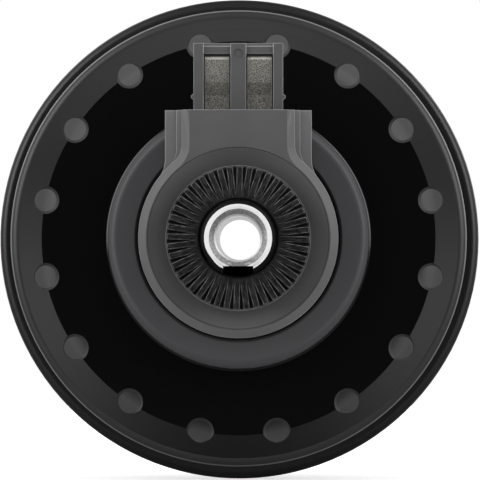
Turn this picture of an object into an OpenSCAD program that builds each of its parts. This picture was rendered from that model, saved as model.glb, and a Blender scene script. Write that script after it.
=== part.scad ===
// Bicycle hub dynamo for a front wheel with a quick-release axle and a disc brake.
// The axle lies along Y. The connector end is at -Y and its terminals point up, along +Z.
// The origin is on the axle, midway between the two lock-nut faces.

/* [Axle] */
// Distance between the two lock-nut faces
over_locknut = 100; // [96:1:110]
// How far the axle stands out past each lock nut
axle_stub = 4; // [3:0.5:6]
// Thread diameter of the axle
axle_d = 9; // [9:0.05:9.4]
// Diameter of the axle's ends, where they sit in the fork
axle_end_d = 8.6; // [8.4:0.05:8.65]
// Bore for the skewer
axle_bore_d = 5.2; // [5:0.1:5.6]
// Diameter of the countersunk mouth of the bore
axle_mouth_d = 6.8; // [6.4:0.1:7.4]
// Chamfer on the axle's ends
axle_chamfer = 0.35; // [0.3:0.05:0.6]
// Width of the keyway that holds the leads
keyway_w = 3.5; // [3.2:0.1:4]
// Wall left between the bore and the floor of the keyway
keyway_wall = 0.66; // [0.5:0.02:0.7]

/* [Lock nuts] */
// Diameter of the serrated face
nut_d = 16.6; // [16:0.2:17.4]
// Whole thickness of a lock nut
nut_t = 4.8; // [4.4:0.1:5.6]
// Thickness of its round flange
nut_flange_t = 2.4; // [1.8:0.1:2.8]
// Distance across the flats of its hexagon
nut_flats = 14; // [13:0.2:14.4]
// Number of radial teeth
nut_teeth = 44; // [32:2:52]
// Depth of the grooves between the teeth at the nut's rim
tooth_depth = 0.5; // [0.3:0.05:0.8]
// Width of those grooves at the rim
tooth_gap = 0.52; // [0.4:0.02:0.64]
// Diameter at which the grooves begin
tooth_start_d = 9.6; // [9.5:0.1:10.6]
// Chamfer at the mouth of a nut's bore
nut_mouth = 0.2; // [0.1:0.05:0.25]

/* [Connector] */
// Diameter of the ring part of the housing
housing_d = 23.4; // [23:0.1:24]
// Bevel round the front of the cover
cover_bevel = 0.9; // [0.6:0.1:1]
// Wall of the moulded cover
cover_wall = 1.4; // [1.2:0.1:1.6]
// Depth of the cover
cover_t = 4.8; // [4.2:0.1:5.4]
// Width of the cover's raised block
block_w = 13.2; // [12.4:0.2:14]
// Width of the step behind the block
step_w = 14.5; // [14.2:0.1:15.6]
// Depth of that step
step_t = 1.8; // [1.2:0.1:2.2]
// Width of the cheeks of the base
cheek_w = 17.2; // [16.4:0.2:18]
// Radius of the fillets between block and ring
neck_fillet = 2.7; // [2:0.1:3.4]
// Radius of the fillets between cheeks and ring
cheek_fillet = 4; // [3:0.1:5]
// Height of the block's top above the axis
block_top = 15; // [14.4:0.1:16]
// Thickness of the base plate and of the terminal frame
base_t = 2.6; // [2.4:0.1:3]
// How far the base reaches into the mouth of the dome
spigot_l = 1.6; // [1.4:0.1:2.4]
// Diameter of the smooth ring round the right lock nut
ring_d = 21.2; // [20.6:0.1:21.4]
// Diameter of the recess in that ring which the nut stands in
ring_recess_d = 16.8; // [16.7:0.1:18.4]
// How far the ring's rim stands over the nut's seat
ring_rise = 1.2; // [0.8:0.1:1.6]
// Thickness of the ring under the nut, and of the washer on the left
ring_t = 1; // [0.8:0.1:1.4]
// Drop of the ring's cone from its rim to its recess
ring_dish = 0.6; // [0.3:0.05:0.75]

/* [Terminals] */
// Width of the terminal frame
frame_w = 10.5; // [10.3:0.1:11.2]
// Height of the terminal frame's top above the axis
frame_top = 22.9; // [22:0.1:24]
// Width of the side rails
rail_w = 1.15; // [0.8:0.05:1.2]
// Width of the centre rib
rib_w = 1.8; // [1.4:0.05:1.9]
// Height of the top bar
bar_h = 1.2; // [0.8:0.05:1.6]
// Wall behind the contacts
frame_back = 1; // [0.8:0.05:1.1]
// Width of a contact strip
contact_w = 2.9; // [2.5:0.05:3]
// Thickness of a contact strip
contact_t = 0.4; // [0.3:0.05:0.5]
// How far a contact's upper pad stands in front of its lower pad
contact_step = 0.7; // [0.5:0.05:0.75]
// Height of the plug's catches above the base
catch_h = 1.6; // [1:0.1:3]
// Diameter of the plug's catches
catch_d = 0.6; // [0.4:0.05:0.8]
// Diameter of the copper leads
lead_d = 0.8; // [0.6:0.05:0.9]

/* [Flanges] */
// Number of spoke holes in each flange
spoke_holes = 16; // [14:2:18]
// Diameter of a spoke hole
spoke_hole_d = 2.7; // [2.4:0.1:2.9]
// Chamfer at both mouths of a spoke hole
spoke_chamfer = 0.3; // [0.2:0.05:0.4]
// Diameter of the right flange
right_flange_d = 54.4; // [53:0.2:58]
// Where the right flange's hole circle lies between the barrel, 0, and the rim, 1
right_hole_place = 0.395; // [0.35:0.005:0.6]
// Distance from the middle of the hub to the right flange
right_flange_y = 27.4; // [26:0.2:29]
// Diameter of the left flange
left_flange_d = 60; // [57:0.2:64]
// Where the left flange's hole circle lies between the barrel, 0, and the rim, 1
left_hole_place = 0.512; // [0.45:0.002:0.6]
// Distance from the middle of the hub to the left flange
left_flange_y = 21.6; // [20.6:0.2:24]
// Thickness of both flanges
flange_t = 3; // [2.6:0.1:3.4]
// Rounding of the flanges' rims
rim_round = 1; // [0.7:0.1:1.1]
// How far the cone outside the right flange's holes falls back
cone_drop = 0.8; // [0.5:0.1:0.9]

/* [Shell] */
// How much wider in radius the barrel is at its left end
barrel_flare = 0.8; // [0.4:0.1:1.2]
// Fillet between the barrel and the left flange
barrel_fillet = 3.5; // [2.5:0.1:4]
// Wall of the barrel at its right end
barrel_wall = 1.5; // [1.4:0.05:1.8]
// Diameter of the dome
dome_d = 30.8; // [30:0.1:32]
// Rounding of the dome's edge
dome_round = 1.1; // [0.8:0.1:1.5]
// Running gap between the housing and the dome
running_gap = 0.3; // [0.25:0.01:0.4]
// Diameter of the neck that carries the rotor seat
neck_d = 38; // [37:0.2:39]
// Thickness of the ring seal between cap and barrel
o_ring_d = 1.1; // [0.9:0.05:1.3]

/* [Rotor seat] */
// Diameter over the splines
seat_d = 34; // [33.4:0.1:35]
// Number of splines
seat_splines = 24; // [20:2:28]
// Depth of the splines
spline_depth = 0.8; // [0.5:0.05:1]
// Length of the seat
seat_l = 6.5; // [6:0.1:7.5]
// Distance from the left lock-nut face to the seat's end
seat_inset = 8.6; // [8:0.1:9.6]
// Diameter of the recess for the lock ring
recess_d = 29.2; // [28.4:0.2:30]
// Depth of that recess
recess_l = 3.4; // [3:0.1:4]

/* [Bearings] */
// Diameter of a ball
ball_d = 4.7625; // [4.5:0.05:5]
// Diameter of the circle of ball centres
ball_circle_d = 17.2; // [17:0.05:17.4]
// Number of balls in each bearing
ball_count = 9; // [7:1:9]
// Clearance between a ball and what it runs in
race_clearance = 0.1; // [0.05:0.01:0.12]
// Diameter of a cone's shoulder
cone_d = 14.8; // [14.2:0.1:15]
// Thickness of a dust seal
seal_t = 1.4; // [1:0.1:1.8]

/* [Generator] */
// Number of pole pairs, which is the number of claws on each plate
pole_pairs = 14; // [12:1:15]
// Length of the stator
stator_l = 33; // [30:0.5:34]
// Diameter over the claws
stator_d = 31; // [30:0.1:31.2]
// Thickness of a claw
claw_t = 1.6; // [1.2:0.1:1.8]
// Width of a claw at its root
claw_root_w = 4.2; // [3.8:0.05:4.3]
// Width of a claw at its tip
claw_tip_w = 1.6; // [1.3:0.05:1.7]
// Thickness of a claw plate's disc
plate_t = 2; // [1.6:0.1:2.4]
// Gap between the claws and the magnets
air_gap = 0.4; // [0.3:0.02:0.5]
// Thickness of the magnets
magnet_t = 2; // [1.6:0.1:2.4]
// Thickness of the flux ring behind the magnets
iron_t = 1.6; // [1.2:0.1:1.8]
// Number of magnet segments
magnet_count = 28; // [14:14:28]
// Diameter of the stator's core sleeve
sleeve_d = 15; // [14:0.2:16]

/* [Hidden] */
$fn = 64;

// A cut reaches this far past the face that it opens
over = 1;
// Play between pieces that slide together on assembly
play = 0.05;
// A concave fillet bites this far into the faces it joins, so that they cross cleanly
bite = 0.01;
// Gap between faces that turn past each other end on
face_gap = 0.4;
// Chamfer on turned ends
edge_chamfer = 0.4;

// Right end of the axle, from the lock nut inwards
nut_face_right = -over_locknut / 2;
nut_back_right = nut_face_right + nut_t;
ring_back = nut_back_right + ring_t;
cover_front = nut_back_right - ring_rise;
cover_back = cover_front + cover_t;
base_back = cover_back + base_t;
dome_face = base_back + face_gap;
spigot_back = base_back + spigot_l;

// Both bearings, each seen from its own end: a seal, a short gap and the retainer come before the balls
seal_gap = 0.3;
seal_sink = 0.1;
seal_lip_gap = 0.15;
seal_lip_t = 0.5;
seal_taper = 1.6;
retainer_gap = 0.4;
retainer_inset = 0.38;
retainer_air = 0.5;
retainer_back = 0.2;
ball_r = ball_d / 2;
groove_r = ball_r + race_clearance;
retainer_reach = groove_r - retainer_inset;
race_right = spigot_back + seal_gap + seal_t + retainer_gap + retainer_reach;
cone_nose = 0.8;
cone_l = retainer_reach + retainer_gap + seal_t + cone_nose;
cone_inner_l = 1.2;
cup_outer_l = 2;
cup_inner_l = 3.1;
cup_lip = 1;
cone_face_right = race_right - cone_l;
mouth_r = housing_d / 2 + running_gap;

// Left end of the axle
nut_face_left = over_locknut / 2;
nut_back_left = nut_face_left - nut_t;
washer_back = nut_back_left - ring_t;
seat_end = nut_face_left - seat_inset;
seat_start = seat_end - seat_l;
recess_floor = seat_end - recess_l;
race_left = recess_floor - seal_sink - seal_t - retainer_gap - retainer_reach;
cone_face_left = race_left + cone_l;

// Axle
axle_r = axle_d / 2;
end_r = axle_end_d / 2;
bore_r = axle_bore_d / 2;
axle_half = over_locknut / 2 + axle_stub;
keyway_floor = bore_r + keyway_wall;
spacer_r = 6.4;
tooth_over = 0.05;

// Shell, from the stator outwards: magnets, flux ring, barrel and the circles of spoke holes
right_outer = -right_flange_y - flange_t / 2;
right_inner = -right_flange_y + flange_t / 2;
left_inner = left_flange_y - flange_t / 2;
left_outer = left_flange_y + flange_t / 2;
stator_r = stator_d / 2;
magnet_in_r = stator_r + air_gap;
magnet_r = magnet_in_r + magnet_t;
cavity_r = magnet_r + iron_t;
barrel_r = cavity_r + barrel_wall;
barrel_left_r = barrel_r + barrel_flare;
right_pcd = 2 * (barrel_r + right_hole_place * (right_flange_d / 2 - barrel_r));
left_pcd = 2 * (barrel_left_r + left_hole_place * (left_flange_d / 2 - barrel_left_r));
left_wall_t = 2.5;
cavity_end = left_inner - left_wall_t;
cap_spigot_l = 4;
web_over_balls = 1.3;
cap_web_r = ball_circle_d / 2 + web_over_balls;
dome_foot = 0.5;
o_ring_inset = 0.6;
hub_bore_r = 13;
cup_shoulder_t = 2;
neck_foot_l = 3.4;
neck_foot_w = 4;

// Generator, centred in the cavity between the cap's spigot and the left wall
gen_middle = (right_inner + cap_spigot_l + cavity_end) / 2;
stator_right = gen_middle - stator_l / 2;
stator_left = gen_middle + stator_l / 2;
claw_in_r = stator_r - claw_t;
claw_tip_gap = 1.8;
claw_l = stator_l - 2 * plate_t - claw_tip_gap;
sleeve_r = sleeve_d / 2;
bobbin_wall = 0.9;
winding_in_r = sleeve_r + play + bobbin_wall;
winding_gap = 0.4;
winding_r = claw_in_r - winding_gap;
winding_fill = 0.6;
stator_nut_t = 3.2;
stator_nut_flats = 17;
magnet_inset = 1;
magnet_gap_angle = 0.8;
iron_lip = 0.5;

// Terminals
terminal_x = (frame_w / 2 - rail_w + rib_w / 2) / 2;
contact_back = base_back - frame_back;
contact_foot = 9.5;
bar_set = 0.35;
pad_high = frame_top - bar_h - bar_set;
pad_h = 3.05;
pad_low = pad_high - pad_h;
bend_h = 1.5;
bend_low = pad_low - bend_h;
dimple_r = 0.55;
dimple_depth = 0.15;
boss_wall = 0.8;

// Leads. Their elbows are a hair fuller than the wire, so that they cover the joins
lead_r = lead_d / 2;
elbow_r = lead_r * 1.05;
lead_air = 0.15;
lead_x = lead_d;
lead_z = -(keyway_floor + lead_r + lead_air);
lead_inset = 2;
lead_start = stator_right + plate_t + lead_inset;
lead_bend_y = (ring_back + cover_back) / 2;
lead_arc_r = spacer_r + lead_r + winding_gap;
lead_up = 65;
lead_on_contact = 1;
lead_top = contact_foot + lead_on_contact;
lead_coil_gap = 0.1;

nut_color = "#2b2b2c";
plastic_color = "#6b6b6d";
shell_color = "#161617";
steel_color = "#b9bcc0";
iron_color = "#6f6a66";
contact_color = "#9a988c";
copper_color = "#b06a3c";

// Turns a flat section, given as [radius, y], about the axle
module turned() {
    rotate([-90, 0, 0]) rotate_extrude() children();
}

// A ring or disc on the axle from y0 to y1
module ring(outer_r, inner_r, y0, y1) {
    turned() translate([inner_r, y0]) square([outer_r - inner_r, y1 - y0]);
}

// Extrudes a flat outline, given as [x, z], along the axle from y0 to y1
module along_axle(y0, y1) {
    translate([0, y1, 0]) rotate([90, 0, 0]) linear_extrude(y1 - y0) children();
}

// A plain round bar along the axle
module bar(r, y0, y1) {
    translate([0, y0, 0]) rotate([-90, 0, 0]) cylinder(h = y1 - y0, r = r);
}

// A hexagonal prism on the axle, flats up and down
module hexagon(flats, y0, y1) {
    along_axle(y0, y1) circle(r = flats / sqrt(3), $fn = 6);
}

module around(count, first = 0) {
    for (i = [0 : count - 1]) rotate([0, first + 360 * i / count, 0]) children();
}

// Height of the centre of a fillet between a circle and a straight neck. The fillet bites a little into both
function fillet_z(r, neck_half, fillet) =
    sqrt(pow(r + fillet - bite, 2) - pow(neck_half + fillet - bite, 2));

// Keyhole outline: a circle with a straight-sided neck and concave fillets between them
module keyhole(r, neck_half, fillet, top) {
    centre_x = neck_half + fillet - bite;
    centre_z = fillet_z(r, neck_half, fillet);
    circle(r = r);
    translate([-neck_half, 0]) square([2 * neck_half, top]);
    difference() {
        polygon([[0, 0], [centre_x, centre_z], [-centre_x, centre_z]]);
        for (side = [-1, 1]) translate([side * centre_x, centre_z]) circle(r = fillet);
    }
}

// The same keyhole with its front edge bevelled all the way round
module bevelled_keyhole(r, neck_half, fillet, top, bevel, y0, y1) {
    centre_x = neck_half + fillet - bite;
    centre_z = fillet_z(r, neck_half, fillet);
    along_axle(y0 + bevel, y1) keyhole(r, neck_half, fillet, top);
    turned() polygon([[0, y0], [r - bevel, y0], [r, y0 + bevel], [0, y0 + bevel]]);
    linear_extrude(top) polygon([[-neck_half + bevel, y0], [neck_half - bevel, y0],
        [neck_half, y0 + bevel], [-neck_half, y0 + bevel]]);
    difference() {
        along_axle(y0, y0 + bevel) polygon([[0, 0], [centre_x, centre_z], [-centre_x, centre_z]]);
        for (side = [-1, 1]) translate([side * centre_x, y0, centre_z]) rotate([-90, 0, 0])
            cylinder(h = bevel, r1 = fillet + bevel, r2 = fillet);
    }
}

// Sections that are placed once at each end: outboard is -y here
module at_right(y) {
    translate([0, y, 0]) children();
}

module at_left(y) {
    translate([0, y, 0]) mirror([0, 1, 0]) children();
}

// Axle and its nuts

module axle() {
    color(steel_color) difference() {
        union() {
            bar(axle_r, nut_face_right, nut_face_left);
            turned() polygon([[0, -axle_half], [end_r - axle_chamfer, -axle_half],
                [end_r, -axle_half + axle_chamfer], [end_r, axle_half - axle_chamfer],
                [end_r - axle_chamfer, axle_half], [0, axle_half]]);
        }
        bar(bore_r, -axle_half - over, axle_half + over);
        mouth_depth = axle_mouth_d / 2 - bore_r;
        at_right(-axle_half) axle_mouth(mouth_depth);
        at_left(axle_half) axle_mouth(mouth_depth);
        translate([-keyway_w / 2, -axle_half - over, -axle_r - over])
            cube([keyway_w, axle_half + lead_start + lead_d + over, axle_r + over - keyway_floor]);
    }
}

module axle_mouth(depth) {
    turned() polygon([[0, -over], [bore_r + depth, -over], [bore_r + depth, 0], [bore_r, depth],
        [0, depth]]);
}

// A serrated lock nut, with its face at y = 0 and its hexagon inboard
module lock_nut() {
    difference() {
        union() {
            ring(nut_d / 2, axle_r, 0, nut_flange_t);
            difference() {
                hexagon(nut_flats, nut_flange_t, nut_t);
                bar(axle_r, -over, nut_t + over);
            }
        }
        turned() polygon([[0, -over], [axle_r + nut_mouth, -over], [axle_r + nut_mouth, 0],
            [axle_r, nut_mouth], [0, nut_mouth]]);
        around(nut_teeth, 180 / nut_teeth) tooth_groove();
    }
}

// A groove that starts at nothing and is widest and deepest at the rim. It is cut by a tilted wedge
module tooth_groove() {
    start_r = tooth_start_d / 2;
    tilt = atan(tooth_depth / (nut_d / 2 - start_r));
    height = tooth_depth + tooth_over;
    half = tooth_gap / 2 * height / tooth_depth;
    translate([0, 0, start_r]) rotate([-tilt, 0, 0]) translate([0, 0, -over / 2]) linear_extrude(nut_d / 2)
        polygon([[0, 0], [half, -height], [-half, -height]]);
}

module lock_nut_right() {
    color(nut_color) at_right(nut_face_right) lock_nut();
}

module lock_nut_left() {
    color(nut_color) at_left(nut_face_left) lock_nut();
}

module washer_left() {
    color(steel_color) ring(nut_d / 2, axle_r, washer_back, nut_back_left);
}

module spacer_left() {
    color(steel_color) ring(spacer_r, axle_r, cone_face_left, washer_back);
}

// Connector

module clamp_ring() {
    recess_r = ring_recess_d / 2;
    color(iron_color) turned() polygon([[axle_r, nut_back_right], [recess_r, nut_back_right],
        [recess_r, cover_front + ring_dish], [ring_d / 2, cover_front], [ring_d / 2, ring_back],
        [axle_r, ring_back]]);
}

module lead_spacer() {
    color(steel_color) difference() {
        ring(spacer_r, axle_r, ring_back, cone_face_right);
        translate([-keyway_w / 2, lead_bend_y - lead_d, -spacer_r - over])
            cube([keyway_w, 2 * lead_d, spacer_r]);
    }
}

module connector_cover() {
    ring_hole_r = ring_d / 2 + play;
    color(plastic_color) difference() {
        union() {
            bevelled_keyhole(housing_d / 2, block_w / 2, neck_fillet, block_top, cover_bevel,
                cover_front, cover_back);
            along_axle(cover_back - step_t, cover_back)
                keyhole(housing_d / 2, step_w / 2, neck_fillet, block_top);
        }
        bar(ring_hole_r, cover_front - over, ring_back);
        along_axle(ring_back, cover_back + over)
            keyhole(housing_d / 2 - cover_wall, block_w / 2 - cover_wall, neck_fillet,
                block_top - cover_wall);
    }
}

module terminal_base() {
    boss_r = cone_d / 2 + boss_wall;
    color(plastic_color) difference() {
        union() {
            along_axle(cover_back, base_back) keyhole(housing_d / 2, cheek_w / 2, cheek_fillet, block_top);
            ring(boss_r, spacer_r + play, base_back, cone_face_right);
            ring(housing_d / 2, boss_r, base_back, spigot_back);
            terminal_frame();
        }
        bar(spacer_r + play, cover_back - over, cone_face_right + over);
        for (side = [-1, 1]) contact_slot(side);
    }
}

// Rails, rib, top bar and back wall, rising from the top of the base
module terminal_frame() {
    for (side = [-1, 1]) {
        translate([side * (frame_w - rail_w) / 2 - rail_w / 2, cover_back, block_top - over])
            cube([rail_w, base_t, frame_top - block_top + over]);
        translate([side * frame_w / 2, cover_back + base_t / 2, block_top + catch_h])
            rotate([-90, 0, 0]) cylinder(h = base_t, d = catch_d, center = true);
    }
    difference() {
        translate([-rib_w / 2, cover_back, block_top - over])
            cube([rib_w, base_t, frame_top - block_top + over]);
        translate([0, cover_back - over, frame_top - bar_h]) rotate([-90, 0, 0])
            cylinder(h = over + dimple_depth, r = dimple_r);
    }
    bar_front = cover_back + bar_set;
    rotate([90, 0, 90]) linear_extrude(frame_w - rail_w, center = true)
        polygon([[bar_front, frame_top - bar_h], [bar_front, frame_top - bar_set],
            [bar_front + bar_set, frame_top], [base_back, frame_top], [base_back, frame_top - bar_h]]);
    translate([-frame_w / 2 + rail_w / 2, contact_back, block_top - over])
        cube([frame_w - rail_w, frame_back, frame_top - block_top + over - bar_h / 2]);
}

// The pocket that a contact drops into, open at the front and at the top of the base
module contact_slot(side) {
    width = contact_w + 2 * play;
    translate([side * terminal_x - width / 2, cover_back - over, contact_foot - play])
        cube([width, over + contact_back - cover_back, block_top - contact_foot + over]);
}

// A contact strip: lower pad against the back wall, a bend, and an upper pad that ends in a hook
module contact(side) {
    rear = contact_back;
    low = rear - contact_t;
    high = low - contact_step;
    inner = high + contact_t;
    hook = pad_high - contact_t;
    color(contact_color) translate([side * terminal_x, 0, 0]) rotate([90, 0, 90])
        linear_extrude(contact_w, center = true) union() {
            polygon([[low, contact_foot], [rear, contact_foot], [rear, bend_low], [inner, pad_low],
                [inner, hook], [rear, hook], [rear, pad_high], [inner, pad_high], [high, hook],
                [high, pad_low], [low, bend_low]]);
            translate([inner, hook]) circle(r = contact_t);
        }
}

module contact_left() {
    contact(-1);
}

module contact_right() {
    contact(1);
}

// A lead: out of the coil, along the keyway, out of the spacer's window, round it and up to a contact
module lead(side) {
    turn_r = lead_arc_r;
    turn_start = -acos(lead_x / turn_r);
    up = [side * turn_r * cos(lead_up), lead_bend_y, turn_r * sin(lead_up)];
    color(copper_color) {
        translate([side * lead_x, lead_start, lead_z]) {
            sphere(r = elbow_r);
            mirror([0, 0, 1]) cylinder(h = winding_in_r + lead_z - lead_coil_gap, r = lead_r);
        }
        translate([side * lead_x, 0, lead_z]) bar(lead_r, lead_bend_y, lead_start);
        translate([side * lead_x, lead_bend_y, lead_z]) {
            sphere(r = elbow_r);
            mirror([0, 0, 1]) cylinder(h = turn_r * sin(-turn_start) + lead_z, r = lead_r);
        }
        translate([side * lead_x, lead_bend_y, turn_r * sin(turn_start)]) sphere(r = elbow_r);
        translate([0, lead_bend_y, 0]) mirror([side < 0 ? 1 : 0, 0, 0]) rotate([90, 0, 0])
            rotate([0, 0, turn_start]) rotate_extrude(angle = lead_up - turn_start)
                translate([turn_r, 0]) circle(r = lead_r);
        translate(up) sphere(r = elbow_r);
        translate(up) cylinder(h = lead_top - up.z, r = lead_r);
        translate([up.x, up.y, lead_top]) {
            sphere(r = elbow_r);
            bar(lead_r, 0, contact_back - contact_t - lead_bend_y);
        }
    }
}

module lead_wire_left() {
    lead(-1);
}

module lead_wire_right() {
    lead(1);
}

// Bearings

// A bearing cone: the groove's centre is at y = 0
module bearing_cone() {
    turned() difference() {
        translate([axle_r, -cone_l]) square([cone_d / 2 - axle_r, cone_l + cone_inner_l]);
        translate([ball_circle_d / 2, 0]) circle(r = groove_r);
        translate([ball_circle_d / 2 - groove_r, 0]) square([cone_d, cone_inner_l + over]);
    }
}

module bearing_cup() {
    turned() difference() {
        translate([ball_circle_d / 2 + cup_lip, -cup_outer_l])
            square([mouth_r - ball_circle_d / 2 - cup_lip, cup_outer_l + cup_inner_l]);
        translate([ball_circle_d / 2, 0]) circle(r = groove_r);
        translate([0, -cup_outer_l - over]) square([ball_circle_d / 2 + groove_r, cup_outer_l + over]);
    }
}

module bearing_retainer() {
    difference() {
        ring(ball_circle_d / 2 + retainer_reach, cone_d / 2 + retainer_air, -retainer_reach, retainer_back);
        around(ball_count) translate([0, 0, ball_circle_d / 2]) sphere(r = groove_r);
    }
}

module bearing_balls() {
    around(ball_count) translate([0, 0, ball_circle_d / 2]) sphere(r = ball_r);
}

// A rubber seal pressed into a mouth, with a thin lip that runs just off the cone's shoulder
module dust_seal() {
    lip_r = cone_d / 2 + seal_lip_gap;
    turned() polygon([[mouth_r, 0], [mouth_r, seal_t], [lip_r + seal_taper, seal_t], [lip_r, seal_lip_t],
        [lip_r, 0]]);
}

module cone_right() {
    color(steel_color) at_right(race_right) bearing_cone();
}

module cone_left() {
    color(steel_color) at_left(race_left) bearing_cone();
}

module cup_right() {
    color(steel_color) at_right(race_right) bearing_cup();
}

module cup_left() {
    color(steel_color) at_left(race_left) bearing_cup();
}

module retainer_right() {
    color(contact_color) at_right(race_right) bearing_retainer();
}

module retainer_left() {
    color(contact_color) at_left(race_left) bearing_retainer();
}

module balls_right() {
    color(steel_color) at_right(race_right) bearing_balls();
}

module balls_left() {
    color(steel_color) at_left(race_left) bearing_balls();
}

module seal_right() {
    color(nut_color) at_right(spigot_back + seal_gap) dust_seal();
}

module seal_left() {
    color(nut_color) at_left(recess_floor - seal_sink) dust_seal();
}

// Shell

// Flat section of a flange's outer part, its rim rounded at both edges
module flange_section(r, inner_r, y0, y1) {
    translate([inner_r, y0]) square([r - rim_round - inner_r, y1 - y0]);
    translate([r - rim_round - over, y0 + rim_round]) square([rim_round + over, y1 - y0 - 2 * rim_round]);
    for (y = [y0 + rim_round, y1 - rim_round]) translate([r - rim_round, y]) circle(r = rim_round);
}

// A ring of spoke holes, chamfered at both mouths. Each drill clears any fillet inboard of the flange
module spoke_hole_ring(pcd, y0, y1, first, fillet = 0) {
    r = spoke_hole_d / 2;
    around(spoke_holes, first) translate([0, 0, pcd / 2]) {
        bar(r, y0 - over - fillet, y1 + over);
        translate([0, y0, 0]) spoke_mouth(r);
        translate([0, y1, 0]) mirror([0, 1, 0]) spoke_mouth(r);
    }
}

module spoke_mouth(r) {
    turned() polygon([[0, -over], [r + spoke_chamfer + over, -over], [r, spoke_chamfer],
        [0, spoke_chamfer]]);
}

module end_cap() {
    dome_r = dome_d / 2;
    hole_r = right_pcd / 2;
    rim_in = right_flange_d / 2 - rim_round;
    color(shell_color) difference() {
        turned() difference() {
            union() {
                flange_section(right_flange_d / 2, cap_web_r, right_outer + cone_drop, right_inner);
                polygon([[cap_web_r, right_outer], [hole_r, right_outer], [rim_in, right_outer + cone_drop],
                    [rim_in, right_inner], [cap_web_r, right_inner]]);
                translate([cap_web_r, dome_face + dome_round])
                    square([dome_r - cap_web_r, right_outer - dome_face - dome_round]);
                translate([cap_web_r, dome_face]) square([dome_r - dome_round - cap_web_r, dome_round]);
                translate([dome_r - dome_round, dome_face + dome_round]) circle(r = dome_round);
                difference() {
                    translate([dome_r - over, right_outer - dome_foot])
                        square([dome_foot + over - bite, dome_foot + over]);
                    translate([dome_r + dome_foot - bite, right_outer - dome_foot + bite])
                        circle(r = dome_foot);
                }
                translate([magnet_in_r, right_inner - over])
                    square([cavity_r - magnet_in_r, cap_spigot_l + over]);
            }
            translate([0, dome_face - over]) square([mouth_r, race_right + cup_inner_l - dome_face + over]);
            translate([cavity_r - o_ring_d, right_inner + o_ring_inset]) square([o_ring_d + over, o_ring_d]);
        }
        spoke_hole_ring(right_pcd, right_outer, right_inner, 180 / spoke_holes + 90);
    }
}

module o_ring() {
    color(nut_color) turned() translate([cavity_r - o_ring_d / 2, right_inner + o_ring_inset + o_ring_d / 2])
        circle(r = o_ring_d / 2);
}

module hub_shell() {
    foot_r = neck_d / 2 + neck_foot_w;
    cup_end = race_left - cup_inner_l;
    color(shell_color) difference() {
        turned() difference() {
            union() {
                polygon([[cap_web_r, right_inner], [barrel_r, right_inner],
                    [barrel_left_r, left_inner - barrel_fillet], [barrel_left_r, left_inner],
                    [cap_web_r, left_inner]]);
                difference() {
                    translate([barrel_left_r - over, left_inner - barrel_fillet])
                        square([barrel_fillet + over, barrel_fillet + over]);
                    translate([barrel_left_r + barrel_fillet, left_inner - barrel_fillet])
                        circle(r = barrel_fillet);
                }
                flange_section(left_flange_d / 2, cap_web_r, left_inner, left_outer);
                polygon([[cap_web_r, left_outer - over], [foot_r, left_outer - over], [foot_r, left_outer],
                    [neck_d / 2, left_outer + neck_foot_l], [neck_d / 2, seat_start],
                    [seat_d / 2, seat_start], [seat_d / 2, seat_end - edge_chamfer],
                    [seat_d / 2 - edge_chamfer, seat_end], [cap_web_r, seat_end]]);
            }
            translate([0, right_inner - over]) square([cavity_r, cavity_end - right_inner + over]);
            translate([0, cavity_end - over])
                square([hub_bore_r, cup_end - cup_shoulder_t - cavity_end + over]);
            translate([0, cup_end]) square([mouth_r, seat_end - cup_end + over]);
            translate([0, recess_floor]) square([recess_d / 2, recess_l + over]);
        }
        spoke_hole_ring(left_pcd, left_inner, left_outer, 0, barrel_fillet);
        spline_grooves();
    }
}

// Grooves between the splines of the rotor seat
module spline_grooves() {
    pitch = PI * seat_d / seat_splines;
    around(seat_splines, 180 / seat_splines) translate([0, 0, seat_d / 2 - spline_depth])
        linear_extrude(spline_depth + over) translate([-pitch / 4, seat_start])
            square([pitch / 2, seat_l + over]);
}

// Generator

module back_iron() {
    color(iron_color) ring(cavity_r, magnet_r, stator_right + magnet_inset - iron_lip,
        stator_left - magnet_inset + iron_lip);
}

module magnet_ring() {
    arc = 360 / magnet_count;
    color(iron_color) for (i = [0 : magnet_count - 1])
        rotate([-90, arc * i, 0]) rotate_extrude(angle = arc - magnet_gap_angle)
            translate([magnet_in_r, stator_right + magnet_inset])
                square([magnet_r - magnet_in_r, stator_l - 2 * magnet_inset]);
}

// A disc with claws that point along +y from it. The disc's outer face is at y = 0
module claw_plate() {
    difference() {
        union() {
            ring(claw_in_r, axle_r, 0, plate_t);
            intersection() {
                ring(stator_r, claw_in_r - over / 2, 0, plate_t + claw_l);
                around(pole_pairs) linear_extrude(stator_d)
                    polygon([[-claw_root_w / 2, 0], [claw_root_w / 2, 0], [claw_root_w / 2, plate_t],
                        [claw_tip_w / 2, plate_t + claw_l], [-claw_tip_w / 2, plate_t + claw_l],
                        [-claw_root_w / 2, plate_t]]);
            }
        }
        ring(claw_in_r, axle_r, plate_t, plate_t + claw_l + over);
    }
}

module claw_plate_right() {
    color(iron_color) at_right(stator_right) claw_plate();
}

module claw_plate_left() {
    color(iron_color) at_left(stator_left) rotate([0, 180 / pole_pairs, 0]) claw_plate();
}

// Two holes that let the leads down from the coil to the keyway
module lead_holes() {
    for (side = [-1, 1]) translate([side * lead_x, lead_start, -winding_r])
        cylinder(h = winding_r - over, r = lead_r + lead_air);
}

module stator_sleeve() {
    color(iron_color) difference() {
        ring(sleeve_r, axle_r, stator_right + plate_t, stator_left - plate_t);
        lead_holes();
    }
}

module coil_bobbin() {
    y0 = stator_right + plate_t;
    y1 = stator_left - plate_t;
    color("#e8e2d0") difference() {
        union() {
            ring(winding_in_r, sleeve_r + play, y0, y1);
            ring(winding_r, winding_in_r - over / 2, y0, y0 + bobbin_wall);
            ring(winding_r, winding_in_r - over / 2, y1 - bobbin_wall, y1);
        }
        lead_holes();
    }
}

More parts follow.
